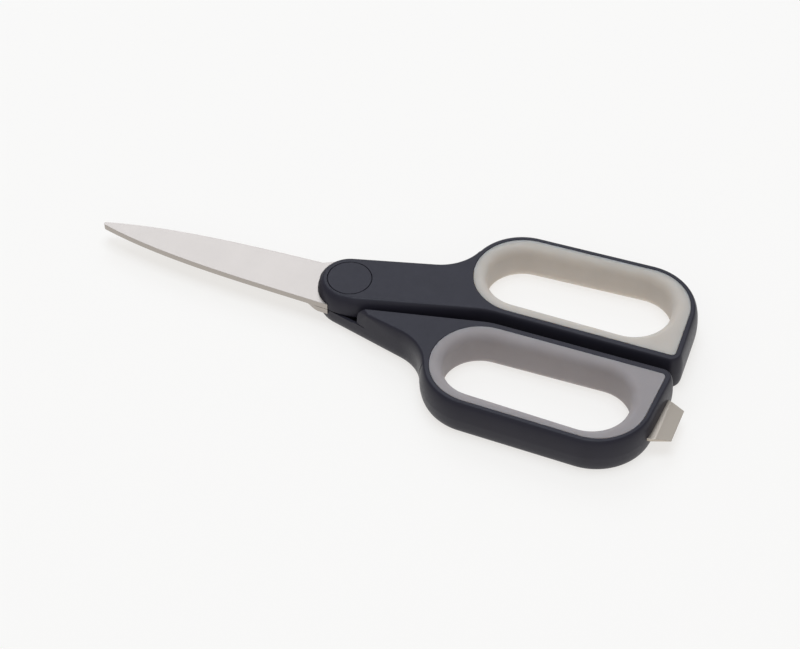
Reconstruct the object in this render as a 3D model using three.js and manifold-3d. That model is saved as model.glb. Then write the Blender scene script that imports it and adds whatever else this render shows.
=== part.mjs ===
// Multi-purpose kitchen scissors: two steel blades, two moulded handles with soft grips, a capped pivot
// and a package opener in the end of one handle.
//
// Millimetres, +Z up. The origin is on the pivot's axis, on the surface that the scissors lie on.
// +X runs from the tip of the blades to the finger loops, and +Y to the upper half's handle.
// The lower half is the upper half turned over about the X axis.

import * as THREE from 'three';
import { mergeVertices } from 'three/addons/utils/BufferGeometryUtils.js';
import Module from 'manifold-3d';

const wasm = await Module();
wasm.setup();

// Clearances
const FIT = 0.3; // between a moulded piece and what it holds
const RUN_GAP = 0.05; // between faces that turn on each other, on each side
const BORE_GAP = 0.1; // between the bolt and a hole, on the radius

// Handles: thickness and the walls of the outline, seen from above
const THICKNESS = 15;
const BOSS_RADIUS = 11.75;
const BOSS_ROUND = 12.4; // of the corner between the boss's front and the stem's outer wall
const BOSS_SIDE_ROUND = 20;
const STEM_OUTER_ANGLE = 15.1;
const STEM_OUTER_OFFSET = 11.5; // from the pivot to the stem's outer wall
const STEM_INNER_ANGLE = 15.9;
const STEM_INNER_OFFSET = 12.7; // from the pivot to the stem's inner wall
const HANDLE_GAP = 3.2; // between the two closed handles
const LOOP_DEPTH = 44.5; // from the inner wall to the outer wall, at the middle of the loop
const LOOP_MIDDLE_X = 80;
const LOOP_OUTER_LEAN = 1.5;
const HANDLE_END_X = 125.55;
const HANDLE_END_Y = 15; // height on the end wall at which its place is given
const HANDLE_END_LEAN = 2.9;
const SHOULDER_X = 37.75; // a point on the slope from the stem up to the loop
const SHOULDER_Y = 27.9;
const SHOULDER_ANGLE = 72;
const SHOULDER_ROUND = 17.5;
const LOOP_FRONT_ROUND = 21.5;
const LOOP_BACK_ROUND = 22.4;
const LOOP_CORNER_ROUND = 4.75;
const STEM_ROUND = 30;

// Edge roundings at the corners of the outline: width from above and height from the side
const BOSS_FRONT_EDGE = { width: 2.95, height: 6.5 };
const BOSS_SIDE_EDGE = { width: 3.45, height: 6.8 };
const BOSS_BACK_EDGE = { width: 2, height: 3.6 };
const STEM_INNER_EDGE = { width: 1.6, height: 7 };
const STEM_OUTER_EDGE = { width: 2.2, height: 4.8 };
const LOOP_CORNER_EDGE = { width: 1.35, height: 7 };
const LOOP_BACK_EDGE = { width: 2.1, height: 7 };
const LOOP_FRONT_EDGE = { width: 2.5, height: 7 };
const FOOT_SHOULDER_EDGE = { width: 1.7, height: 5 };
const NOSE_EDGE = { width: 0.5, height: 0.5 };

// Relief: the room that each handle's lower layer leaves for the other half's boss and stem, up to a nose
const RELIEF_ANGLE = 12.03;
const RELIEF_OFFSET = 13.15; // from the pivot to the wall beside the other half's stem
const RELIEF_RADIUS = 15.2; // from the pivot to the nose
const RELIEF_ROUND = 30;
const NOSE_ANGLE = 54.3;
const NOSE_ROUND = 0.8;
const NOSE_LEAN = 2.3; // how far the nose leans back over the layer's height
const RECESS_RIM = 1.1; // thickness of the boss's rim, on the side of the cutting edge
const RECESS_DROP = 0.4; // how far that rim stays behind the mating face

// Grips: the rim of hard plastic around them, their own width and their rounding into the finger hole
const RIM_OUTER = 3.3;
const RIM_INNER = 3.2;
const RIM_END = 3;
const GRIP_FRONT_X = 40.8;
const GRIP_FRONT_ROUND = 18.9;
const GRIP_BACK_ROUND = 18.6;
const GRIP_CORNER_ROUND = 1.7;
const GRIP_WIDTH_INNER = 4.95; // at the middle of the loop
const GRIP_INNER_LEAN = 0.7;
const GRIP_WIDTH_OUTER = 4.65; // at the middle of the loop
const GRIP_OUTER_LEAN = 1;
const GRIP_WIDTH_FRONT = 5.15;
const GRIP_WIDTH_END = 6.7;
const HOLE_ROUND = 14.2;
const GRIP_NOSE = 3.5;
const RIB_HEIGHT = 4; // locking rib around the loop, under the grip
const RIB_DEPTH = 1.2;

// Blades
const BLADE_REACH = 98.3; // pivot to tip
const BLADE_THICKNESS = 2.4;
const SPINE_HEEL = 11.19; // half-widths of the closed blades: at the heel, and the curve to the tip
const SPINE_FIRST_HANDLE = [31.5, 9.74];
const SPINE_SECOND_HANDLE = [65.5, 9.39];
const SPINE_TIP = 2.05;
const TIP_LENGTH = 1.1; // of the blunt end, past the end of the spine's curve
const HEEL_X = -4.5;
const HEEL_FLAT = 3.6; // length of the heel's straight end
const HEEL_RAMP = 7; // length over which the heel turns into the cutting edge
const EDGE_INSET = 0.6; // cutting edge, inside the other blade's spine
const BEVEL_WIDTH = 2;
const BEVEL_TIP_WIDTH = 1.8;
const RICASSO_RADIUS = 9.2;
const TANG_ANGLE = 15;
const TANG_LENGTH = 40;
const TANG_WIDTH = 9;
const TANG_HOLE_RADIUS = 1.75;
const TANG_HOLE_PLACES = [19, 31]; // along the tang, from the pivot

// Pivot: bolt, washer, spring, nut and caps
const SHANK_RADIUS = 3;
const NECK_STEP = 0.2; // of the square neck past the round shank, on each side
const HEAD_RADIUS = 5.8;
const HEAD_THICKNESS = 2.6;
const HEAD_SLOT_WIDTH = 1.2;
const HEAD_SLOT_DEPTH = 1;
const WASHER_RADIUS = 5.6;
const WASHER_THICKNESS = 0.5;
const SPRING_RADIUS = 5.4;
const SPRING_THICKNESS = 0.4;
const SPRING_RISE = 0.35;
const NUT_ACROSS_FLATS = 8;
const NUT_THICKNESS = 1.9;
const CAP_RADIUS = 8.1;
const CAP_THICKNESS = 1.4;
const CAP_EDGE = 0.25;
const CAP_LEDGE = 1; // width of the seat under the cap
const CAP_RING_DEPTH = 1;
const CAP_RING_WIDTH = 0.7;

// Package opener
const OPENER_ROOT_WIDTH = 20.4;
const OPENER_EDGE_WIDTH = 15.2;
const OPENER_REACH = 7.1; // from the handle's end wall to the opener's edge
const OPENER_BEVEL = 5.35;
const OPENER_EDGE_THICKNESS = 0.3;
const OPENER_THICKNESS = 1.2;
const OPENER_MIDDLE_Y = 20.2;
const OPENER_TAIL = 5.6; // behind the end wall's outer face
const OPENER_EAR = 2; // the tail's ears, past the root on each side
const OPENER_EAR_LENGTH = 2.4;

// Roundness: largest turn of one facet, and the steps of an edge's rounding
const FACET_ANGLE = 9;
const LEAST_ROUND = 0.1; // of a corner, where an edge's rounding takes most of it away
const EDGE_STEPS = 4;
const SPINE_STEPS = 16;
const TIP_STEPS = 8;
const NOSE_STEPS = 6;
const LATHE_SIDES = 40;
const PAST = 1; // how far a cutter runs past the face that it cuts
const WELD = 1e-4; // points closer than this are one

// Heights that the halves share
const MATING_Z = THICKNESS / 2;
const BLADE_BOTTOM = MATING_Z + RUN_GAP;
const BLADE_TOP = BLADE_BOTTOM + BLADE_THICKNESS;
const BOSS_BOTTOM = BLADE_BOTTOM + RUN_GAP;
const CAP_BOTTOM = THICKNESS - CAP_THICKNESS;
const CHAMBER_RADIUS = CAP_RADIUS + FIT - CAP_LEDGE;
const INNER_WALL_Y = HANDLE_GAP / 2;
const NECK_WIDTH = 2 * (SHANK_RADIUS + NECK_STEP);

// Colours
const STEEL = { color: 0xd6d1cc, roughness: 0.35, metalness: 1 };
const DARK_PLASTIC = { color: 0x3d3d44, roughness: 0.55, metalness: 0 };
const LIGHT_RUBBER = { color: 0xb9b6b0, roughness: 0.7, metalness: 0 };
const GREY_RUBBER = { color: 0x8f8c8e, roughness: 0.7, metalness: 0 };

const rad = THREE.MathUtils.degToRad;

// Outlines

// A straight wall: a point on it, the direction it runs in, the rounding of the corner at its far end
// and the rounding of the edge at that corner. The material lies to its left.
function wall(x, y, angle, round, edge = { width: 0, height: 0 }) {
  return { x, y, angle, round, edge };
}

// The same wall moved to its left.
function moveIn(w, distance) {
  const a = rad(w.angle);
  return { ...w, x: w.x - distance * Math.sin(a), y: w.y + distance * Math.cos(a) };
}

function crossing(v, w) {
  const [a, b] = [rad(v.angle), rad(w.angle)];
  const along = ((w.x - v.x) * Math.sin(b) - (w.y - v.y) * Math.cos(b)) / Math.sin(b - a);
  return new THREE.Vector2(v.x + along * Math.cos(a), v.y + along * Math.sin(a));
}

function turn(v, w) {
  return THREE.MathUtils.euclideanModulo(w.angle - v.angle + 180, 360) - 180;
}

// The ring of walls, each moved to its left at both ends by what its two corners ask for.
function moveCorners(walls, inset) {
  const corners = walls.map((w, i) => crossing(w, walls[(i + 1) % walls.length]));
  return walls.map((w, i) => {
    const a = rad(w.angle);
    const left = new THREE.Vector2(-Math.sin(a), Math.cos(a));
    const start = corners.at(i - 1).clone().addScaledVector(left, inset(walls.at(i - 1)));
    const end = corners[i].clone().addScaledVector(left, inset(w));
    return { ...w, ...start, angle: THREE.MathUtils.radToDeg(end.sub(start).angle()) };
  });
}

// The closed outline of a ring of walls, whose corners are arcs that touch both walls. A rounding is
// limited by the length of its walls. Each point keeps the height of its edge's rounding.
function outline(walls, inset = () => 0) {
  const next = (i) => (i + 1) % walls.length;
  const moved = moveCorners(walls, inset);
  const corners = moved.map((w, i) => crossing(w, moved[next(i)]));
  const turns = moved.map((w, i) => turn(w, moved[next(i)]));
  const radii = walls.map((w, i) => Math.max(w.round - Math.sign(turns[i]) * inset(w), LEAST_ROUND));
  const reach = radii.map((r, i) => r * Math.tan(rad(Math.abs(turns[i])) / 2));
  const share = walls.map((w, i) => {
    const length = corners.at(i - 1).distanceTo(corners[i]);
    return Math.min(1, length / Math.max(reach.at(i - 1) + reach[i], WELD));
  });
  return moved.flatMap((w, i) => {
    const scale = Math.min(share[i], share[next(i)]);
    const radius = radii[i] * scale;
    const side = Math.sign(turns[i]);
    const a = rad(w.angle);
    const start = corners[i].clone();
    start.x -= reach[i] * scale * Math.cos(a);
    start.y -= reach[i] * scale * Math.sin(a);
    const centre = new THREE.Vector2(
      start.x - side * radius * Math.sin(a),
      start.y + side * radius * Math.cos(a),
    );
    const steps = Math.ceil(Math.abs(turn(walls[i], walls[next(i)])) / FACET_ANGLE);
    return Array.from({ length: steps + 1 }, (_, k) => {
      const angle = a - (side * Math.PI) / 2 + rad(turns[i]) * (k / steps);
      const point = new THREE.Vector2(Math.cos(angle), Math.sin(angle));
      point.multiplyScalar(radius).add(centre);
      point.edgeHeight = w.edge.height;
      return point;
    });
  });
}

// Solids

// A closed skin over rings of equally many points, from the lowest to the highest, with flat ends.
function loft(rings) {
  const count = rings[0].length;
  const flat = (ring) => ring.map((p) => new THREE.Vector2(p.x, p.y));
  const index = [];
  for (const [a, b, c] of THREE.ShapeUtils.triangulateShape(flat(rings[0]), [])) {
    index.push(a, c, b);
  }
  for (let level = 0; level < rings.length - 1; level += 1) {
    for (let i = 0; i < count; i += 1) {
      const j = (i + 1) % count;
      const low = level * count;
      const high = low + count;
      index.push(low + i, low + j, high + j, low + i, high + j, high + i);
    }
  }
  const last = (rings.length - 1) * count;
  for (const [a, b, c] of THREE.ShapeUtils.triangulateShape(flat(rings.at(-1)), [])) {
    index.push(last + a, last + b, last + c);
  }
  const geometry = new THREE.BufferGeometry();
  const positions = rings.flat().flatMap((p) => [p.x, p.y, p.z]);
  geometry.setAttribute('position', new THREE.Float32BufferAttribute(positions, 3));
  geometry.setIndex(index);
  return geometry;
}

function ringAt(points, height) {
  return points.map((p) => new THREE.Vector3(p.x, p.y, height(p)));
}

function prism(points, bottom, top) {
  return loft([ringAt(points, () => bottom), ringAt(points, () => top)]);
}

function solid(geometry) {
  const bare = geometry.clone();
  bare.deleteAttribute('normal');
  bare.deleteAttribute('uv');
  const merged = mergeVertices(bare, WELD);
  return new wasm.Manifold(new wasm.Mesh({
    numProp: 3,
    vertProperties: merged.attributes.position.array,
    triVerts: new Uint32Array(merged.index.array),
  }));
}

function geometryOf(body) {
  const mesh = body.getMesh();
  const geometry = new THREE.BufferGeometry();
  geometry.setAttribute('position', new THREE.BufferAttribute(mesh.vertProperties, 3));
  geometry.setIndex(new THREE.BufferAttribute(mesh.triVerts, 1));
  return geometry;
}

function cut(body, ...tools) {
  return tools.reduce((rest, tool) => rest.subtract(tool), body);
}

function join(...bodies) {
  return bodies.reduce((whole, body) => whole.add(body));
}

// A turned solid about the pivot's axis, from [radius, height] pairs. A profile that stays off the axis
// closes on itself.
function turned(profile) {
  const lathe = new THREE.LatheGeometry(profile.map(([r, z]) => new THREE.Vector2(r, z)), LATHE_SIDES);
  return solid(lathe.rotateX(Math.PI / 2));
}

function disc(radius, bottom, top) {
  return turned([[0, bottom], [radius, bottom], [radius, top], [0, top]]);
}

function washer(inner, outer, bottom, top) {
  return turned([[inner, bottom], [outer, bottom], [outer, top], [inner, top], [inner, bottom]]);
}

// The lower half's copy of an upper piece: turned over about the X axis at half the thickness.
function turnOver(geometry) {
  const position = geometry.attributes.position;
  for (let i = 0; i < position.count; i += 1) {
    position.setXYZ(i, position.getX(i), -position.getY(i), THICKNESS - position.getZ(i));
  }
  return geometry;
}

// The walls of the upper half

// A wall at a distance from the pivot, which lies on the material's side of it.
function wallFromPivot(distance, angle, round, edge) {
  return moveIn(wall(0, 0, angle, round, edge), -distance);
}

function loopWalls() {
  const outerY = INNER_WALL_Y + LOOP_DEPTH;
  return {
    inner: wall(LOOP_MIDDLE_X, INNER_WALL_Y, 0, LOOP_CORNER_ROUND, LOOP_CORNER_EDGE),
    end: wall(HANDLE_END_X, HANDLE_END_Y, 90 + HANDLE_END_LEAN, LOOP_BACK_ROUND, LOOP_BACK_EDGE),
    outer: wall(LOOP_MIDDLE_X, outerY, 180 + LOOP_OUTER_LEAN, LOOP_FRONT_ROUND, LOOP_FRONT_EDGE),
  };
}

function stemOuterWall(round, edge) {
  return wallFromPivot(STEM_OUTER_OFFSET, 180 + STEM_OUTER_ANGLE, round, edge);
}

function shoulderWall(edge) {
  return wall(SHOULDER_X, SHOULDER_Y, 180 + SHOULDER_ANGLE, SHOULDER_ROUND, edge);
}

// The outline of the upper layer: the boss over the pivot, the stem and the loop.
function handleWalls() {
  const { inner, end, outer } = loopWalls();
  return [
    wallFromPivot(BOSS_RADIUS, 0, BOSS_SIDE_ROUND, BOSS_SIDE_EDGE),
    wallFromPivot(STEM_INNER_OFFSET, STEM_INNER_ANGLE, STEM_ROUND, STEM_INNER_EDGE),
    inner,
    end,
    outer,
    shoulderWall(STEM_OUTER_EDGE),
    stemOuterWall(BOSS_ROUND, BOSS_BACK_EDGE),
    wallFromPivot(BOSS_RADIUS, 270, BOSS_RADIUS, BOSS_FRONT_EDGE),
  ];
}

// The outline of the lower layer, which ends in a nose in front of the other half's boss.
function footWalls() {
  const { inner, end, outer } = loopWalls();
  return [
    wallFromPivot(-RELIEF_OFFSET, -RELIEF_ANGLE, RELIEF_ROUND, STEM_INNER_EDGE),
    inner,
    end,
    outer,
    shoulderWall(FOOT_SHOULDER_EDGE),
    stemOuterWall(NOSE_ROUND, NOSE_EDGE),
    wallFromPivot(-RELIEF_RADIUS, NOSE_ANGLE - 90, NOSE_ROUND, NOSE_EDGE),
  ];
}

// The grip's seat in the loop.
function seatWalls() {
  const { inner, end, outer } = loopWalls();
  return [
    { ...moveIn(inner, RIM_INNER), round: GRIP_CORNER_ROUND },
    { ...moveIn(end, RIM_END), round: GRIP_BACK_ROUND },
    { ...moveIn(outer, RIM_OUTER), round: GRIP_FRONT_ROUND },
    wall(GRIP_FRONT_X, INNER_WALL_Y, 270, GRIP_FRONT_ROUND),
  ];
}

// The finger hole, inside the grip.
function holeWalls() {
  const [inner, end, outer, front] = seatWalls();
  return [
    moveIn({ ...inner, angle: inner.angle - GRIP_INNER_LEAN }, GRIP_WIDTH_INNER),
    moveIn(end, GRIP_WIDTH_END),
    moveIn({ ...outer, angle: outer.angle + GRIP_OUTER_LEAN }, GRIP_WIDTH_OUTER),
    moveIn(front, GRIP_WIDTH_FRONT),
  ].map((w) => ({ ...w, round: HOLE_ROUND }));
}

// Handles

// Rings from a plate's upright walls over the rounded edge to one face. The plate lies above the face
// where side is 1, and below it where side is -1.
function edgeRings(walls, face, side) {
  return Array.from({ length: EDGE_STEPS + 1 }, (_, k) => {
    const a = (Math.PI / 2) * (k / EDGE_STEPS);
    const points = outline(walls, (w) => w.edge.width * (1 - Math.cos(a)));
    return ringAt(points, (p) => face + side * p.edgeHeight * (1 - Math.sin(a)));
  });
}

// The upper layer, with a rounded upper edge.
function upperLayer() {
  const walls = handleWalls();
  const floor = ringAt(outline(walls), () => BOSS_BOTTOM);
  return solid(loft([floor, ...edgeRings(walls, THICKNESS, -1)]));
}

// The room in front of the nose, which leans back from the mating face.
function noseCutter() {
  const room = new THREE.BoxGeometry(2 * RELIEF_RADIUS, 4 * RELIEF_RADIUS, 4 * THICKNESS);
  room.translate(-RELIEF_RADIUS, 0, 0).rotateY(-Math.atan2(NOSE_LEAN, BOSS_BOTTOM));
  room.translate(RELIEF_RADIUS, 0, BOSS_BOTTOM).rotateZ(rad(NOSE_ANGLE));
  return solid(room);
}

// The lower layer, with a rounded lower edge.
function lowerLayer() {
  const walls = footWalls();
  const roof = ringAt(outline(walls), () => BOSS_BOTTOM);
  return cut(solid(loft([...edgeRings(walls, 0, 1).toReversed(), roof])), noseCutter());
}

// The boss's recess, on the cutting edge's side of the tang: down to the blade's outer face inside a rim.
function recessCutters() {
  const side = new THREE.BoxGeometry(4 * RELIEF_RADIUS, 2 * RELIEF_RADIUS, 2 * THICKNESS);
  side.translate(0, RELIEF_RADIUS, THICKNESS).rotateZ(rad(TANG_ANGLE));
  const reach = disc(RELIEF_RADIUS, BOSS_BOTTOM - PAST, BLADE_TOP).intersect(solid(side));
  const inside = outline(handleWalls(), () => RECESS_RIM);
  return [
    reach.intersect(solid(prism(inside, 0, THICKNESS))),
    reach.intersect(solid(prism(outline(handleWalls(), () => -PAST), 0, BOSS_BOTTOM + RECESS_DROP))),
  ];
}

// The loop's opening around the grip, which leaves a locking rib at half the thickness.
function seatCutters() {
  const seat = outline(seatWalls());
  const rib = outline(seatWalls(), () => RIB_DEPTH);
  return [
    solid(prism(rib, -PAST, THICKNESS + PAST)),
    solid(prism(seat, -PAST, MATING_Z - RIB_HEIGHT / 2)),
    solid(prism(seat, MATING_Z + RIB_HEIGHT / 2, THICKNESS + PAST)),
  ];
}

function tangPlace(along) {
  return [along * Math.cos(rad(TANG_ANGLE)), along * Math.sin(rad(TANG_ANGLE))];
}

// Posts of plastic that fill the tang's holes.
function tangPosts(radius, bottom, top) {
  return TANG_HOLE_PLACES.map((along) => disc(radius, bottom, top).translate([...tangPlace(along), 0]));
}

function handleBody() {
  const pocket = solid(prism(bladeOutline(0, FIT), BLADE_BOTTOM - FIT, BLADE_TOP));
  const hollow = cut(
    join(upperLayer(), lowerLayer()),
    ...seatCutters(),
    pocket,
    ...recessCutters(),
    disc(CHAMBER_RADIUS, BLADE_BOTTOM, CAP_BOTTOM + PAST / 2),
    disc(CAP_RADIUS + FIT, CAP_BOTTOM, THICKNESS + PAST),
  );
  return join(hollow, ...tangPosts(TANG_HOLE_RADIUS - FIT, BOSS_BOTTOM, BLADE_TOP + PAST / 2));
}

// Grips

function gripBody() {
  const nose = (a) => outline(holeWalls(), () => -GRIP_NOSE * (1 - Math.sin(a)));
  const rings = [ringAt(nose(0), () => -PAST)];
  for (let k = 0; k <= NOSE_STEPS; k += 1) {
    const a = (Math.PI / 2) * (k / NOSE_STEPS);
    rings.push(ringAt(nose(a), () => GRIP_NOSE * (1 - Math.cos(a))));
  }
  const upper = rings.toReversed().map((ring) => ringAt(ring, (p) => THICKNESS - p.z));
  const groove = cut(
    solid(prism(outline(seatWalls(), () => -PAST), ...grooveHeights())),
    solid(prism(outline(seatWalls(), () => RIB_DEPTH + FIT), ...grooveHeights())),
  );
  const seat = outline(seatWalls(), () => FIT);
  return cut(solid(prism(seat, 0, THICKNESS)), solid(loft([...rings, ...upper])), groove);
}

function grooveHeights() {
  const half = RIB_HEIGHT / 2 + FIT;
  return [MATING_Z - half, MATING_Z + half];
}

// Blades

// Half-width of the closed blades along the spine, from the heel to the tip.
function spinePoints() {
  const end = BLADE_REACH - TIP_LENGTH;
  const curve = new THREE.CubicBezierCurve(
    new THREE.Vector2(HEEL_X, SPINE_HEEL),
    new THREE.Vector2(HEEL_X - SPINE_FIRST_HANDLE[0], SPINE_FIRST_HANDLE[1]),
    new THREE.Vector2(HEEL_X - SPINE_SECOND_HANDLE[0], SPINE_SECOND_HANDLE[1]),
    new THREE.Vector2(-end, SPINE_TIP),
  );
  return curve.getPoints(SPINE_STEPS);
}

// How far the cutting side lies inside the spine's half-width: nothing at the heel, then the inset of
// the edge and as much of the bevel as is asked for.
function edgeInset(x, bevelShare) {
  const ramp = THREE.MathUtils.smoothstep(HEEL_X - HEEL_FLAT - x, 0, HEEL_RAMP);
  const along = THREE.MathUtils.clamp((HEEL_X - x) / (BLADE_REACH + HEEL_X), 0, 1);
  const bevel = THREE.MathUtils.lerp(BEVEL_WIDTH, BEVEL_TIP_WIDTH, along ** 2);
  return ramp * (EDGE_INSET + bevelShare * bevel);
}

function arcPoints(radius, from, to) {
  const steps = Math.ceil((to - from) / FACET_ANGLE);
  return Array.from({ length: steps + 1 }, (_, k) => {
    const a = rad(from + ((to - from) * k) / steps);
    return new THREE.Vector2(radius * Math.cos(a), radius * Math.sin(a));
  });
}

// The tang: a bar with a round end, as points around it from its inner to its outer side.
function tangPoints(grow) {
  const half = TANG_WIDTH / 2 + grow;
  const centre = new THREE.Vector2(...tangPlace(TANG_LENGTH - TANG_WIDTH / 2));
  const end = arcPoints(half, TANG_ANGLE - 90, TANG_ANGLE + 90);
  return end.map((p) => p.add(centre));
}

// One face of the blade, from the tip along the spine, around the tang and back along the cutting edge.
function bladeOutline(bevelShare, grow = 0) {
  const spine = spinePoints();
  const ricasso = RICASSO_RADIUS + grow;
  const heelX = HEEL_X + grow;
  const heelAngle = THREE.MathUtils.radToDeg(Math.acos(heelX / ricasso));
  const tangTurn = THREE.MathUtils.radToDeg(Math.asin((TANG_WIDTH / 2 + grow) / ricasso));
  const back = spine.toReversed().map((p) => new THREE.Vector2(p.x, -p.y - grow));
  const front = spine.map((p) => {
    return new THREE.Vector2(p.x, p.y - edgeInset(p.x, bevelShare) + grow);
  });
  back.at(-1).x = heelX;
  front[0].x = heelX;
  const tip = tipPoints(back[0], front.at(-1), grow);
  return [
    ...back,
    ...arcPoints(ricasso, -heelAngle, TANG_ANGLE - tangTurn),
    ...tangPoints(grow),
    ...arcPoints(ricasso, TANG_ANGLE + tangTurn, heelAngle),
    ...front,
    ...tip,
  ];
}

// The blunt tip: half an ellipse from the cutting side to the spine.
function tipPoints(spineEnd, edgeEnd, grow) {
  const half = (edgeEnd.y - spineEnd.y) / 2;
  const middle = (edgeEnd.y + spineEnd.y) / 2;
  return Array.from({ length: TIP_STEPS - 1 }, (_, k) => {
    const a = Math.PI * (0.5 + (k + 1) / TIP_STEPS);
    return new THREE.Vector2(spineEnd.x + (TIP_LENGTH + grow) * Math.cos(a), middle + half * Math.sin(a));
  });
}

function bladeBody() {
  const rings = [
    ringAt(bladeOutline(0), () => BLADE_BOTTOM),
    ringAt(bladeOutline(1), () => BLADE_TOP),
  ];
  return cut(solid(loft(rings)), ...tangPosts(TANG_HOLE_RADIUS, BLADE_BOTTOM - PAST, BLADE_TOP + PAST));
}

function upperBlade() {
  return cut(bladeBody(), disc(SHANK_RADIUS + BORE_GAP, BLADE_BOTTOM - PAST, BLADE_TOP + PAST));
}

function lowerBlade() {
  const side = NECK_WIDTH + 2 * BORE_GAP;
  const key = new THREE.BoxGeometry(side, side, BLADE_THICKNESS + 2 * PAST);
  key.translate(0, 0, BLADE_BOTTOM + BLADE_THICKNESS / 2);
  return cut(bladeBody(), solid(key));
}

// Pivot

const WASHER_BOTTOM = BLADE_TOP + RUN_GAP;
const SPRING_BOTTOM = WASHER_BOTTOM + WASHER_THICKNESS;
const NUT_BOTTOM = SPRING_BOTTOM + SPRING_RISE + SPRING_THICKNESS;
const NUT_TOP = NUT_BOTTOM + NUT_THICKNESS;
const HEAD_TOP = THICKNESS - BLADE_TOP;

function pivotBolt() {
  const neckTop = MATING_Z - RUN_GAP;
  const neck = new THREE.BoxGeometry(NECK_WIDTH, NECK_WIDTH, neckTop - HEAD_TOP + PAST);
  neck.translate(0, 0, (neckTop + HEAD_TOP - PAST) / 2);
  const slot = new THREE.BoxGeometry(2 * HEAD_RADIUS + PAST, HEAD_SLOT_WIDTH, 2 * HEAD_SLOT_DEPTH);
  slot.translate(0, 0, HEAD_TOP - HEAD_THICKNESS);
  const head = disc(HEAD_RADIUS, HEAD_TOP - HEAD_THICKNESS, HEAD_TOP);
  const shank = disc(SHANK_RADIUS, HEAD_TOP - PAST, NUT_TOP);
  return cut(join(head, solid(neck), shank), solid(slot));
}

function pivotNut() {
  const corners = NUT_ACROSS_FLATS / 2 / Math.cos(Math.PI / 6);
  const hexagon = new THREE.CylinderGeometry(corners, corners, NUT_THICKNESS, 6).rotateX(Math.PI / 2);
  hexagon.translate(0, 0, NUT_BOTTOM + NUT_THICKNESS / 2);
  return cut(solid(hexagon), disc(SHANK_RADIUS + BORE_GAP, NUT_BOTTOM - PAST, NUT_TOP + PAST));
}

function flatWasher() {
  return washer(SHANK_RADIUS + BORE_GAP, WASHER_RADIUS, WASHER_BOTTOM, SPRING_BOTTOM);
}

// A cone-shaped spring, whose outer rim rests on the washer and whose inner rim holds the nut.
function discSpring() {
  const inner = SHANK_RADIUS + BORE_GAP;
  const low = SPRING_BOTTOM;
  const high = SPRING_BOTTOM + SPRING_RISE;
  return turned([
    [inner, high],
    [SPRING_RADIUS, low],
    [SPRING_RADIUS, low + SPRING_THICKNESS],
    [inner, high + SPRING_THICKNESS],
    [inner, high],
  ]);
}

// A flat cap with a ring underneath that snaps into the chamber around the nut.
function pivotCap() {
  const ringOuter = CHAMBER_RADIUS - FIT;
  const ringInner = ringOuter - CAP_RING_WIDTH;
  return turned([
    [0, CAP_BOTTOM],
    [ringInner, CAP_BOTTOM],
    [ringInner, CAP_BOTTOM - CAP_RING_DEPTH],
    [ringOuter, CAP_BOTTOM - CAP_RING_DEPTH],
    [ringOuter, CAP_BOTTOM],
    [CAP_RADIUS, CAP_BOTTOM],
    [CAP_RADIUS, THICKNESS - CAP_EDGE],
    [CAP_RADIUS - CAP_EDGE, THICKNESS],
    [0, THICKNESS],
  ]);
}

// Package opener, in the lower handle's end wall

// The end wall's outer face at the opener's middle.
function endWallX() {
  const { end } = loopWalls();
  return crossing(end, wall(0, OPENER_MIDDLE_Y, 0, 0)).x;
}

// The opener from above: ears and tail inside the handle, and a trapezoid outside that ends in its edge.
function openerOutline(reach, grow = 0) {
  const x = endWallX();
  const root = OPENER_ROOT_WIDTH / 2 + grow;
  const taper = (OPENER_ROOT_WIDTH - OPENER_EDGE_WIDTH) / 2 / OPENER_REACH;
  const edge = root - taper * reach;
  const ear = root + OPENER_EAR;
  const tailX = x - OPENER_TAIL - grow;
  const earX = tailX + OPENER_EAR_LENGTH + 2 * grow;
  const half = [[tailX, ear], [earX, ear], [earX, root], [x, root], [x + reach, edge]];
  const mirrored = half.toReversed().map(([px, py]) => [px, -py]);
  return [...mirrored.toReversed(), ...half.toReversed()].map(([px, py]) => {
    return new THREE.Vector2(px, py - OPENER_MIDDLE_Y);
  });
}

function openerBody() {
  const low = MATING_Z - OPENER_THICKNESS / 2;
  const high = MATING_Z + OPENER_THICKNESS / 2;
  const flat = OPENER_REACH - OPENER_BEVEL;
  return solid(loft([
    ringAt(openerOutline(OPENER_REACH), () => low),
    ringAt(openerOutline(OPENER_REACH), () => low + OPENER_EDGE_THICKNESS),
    ringAt(openerOutline(flat), () => high),
  ]));
}

function openerSlot() {
  const low = MATING_Z - OPENER_THICKNESS / 2 - FIT;
  const high = MATING_Z + OPENER_THICKNESS / 2 + FIT;
  return solid(prism(openerOutline(OPENER_REACH, FIT), low, high));
}

// The scissors

const scissors = new THREE.Group();

function addPiece(group, name, geometry, finish) {
  const mesh = new THREE.Mesh(geometry, new THREE.MeshStandardMaterial(finish));
  mesh.name = name;
  group.add(mesh);
}

function turnedOver(body) {
  return turnOver(geometryOf(body));
}

const upperHalf = new THREE.Group();
addPiece(upperHalf, 'upper_blade', geometryOf(upperBlade()), STEEL);
addPiece(upperHalf, 'upper_handle', geometryOf(handleBody()), DARK_PLASTIC);
addPiece(upperHalf, 'upper_grip', geometryOf(gripBody()), LIGHT_RUBBER);
addPiece(upperHalf, 'upper_pivot_cap', geometryOf(pivotCap()), DARK_PLASTIC);

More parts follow.
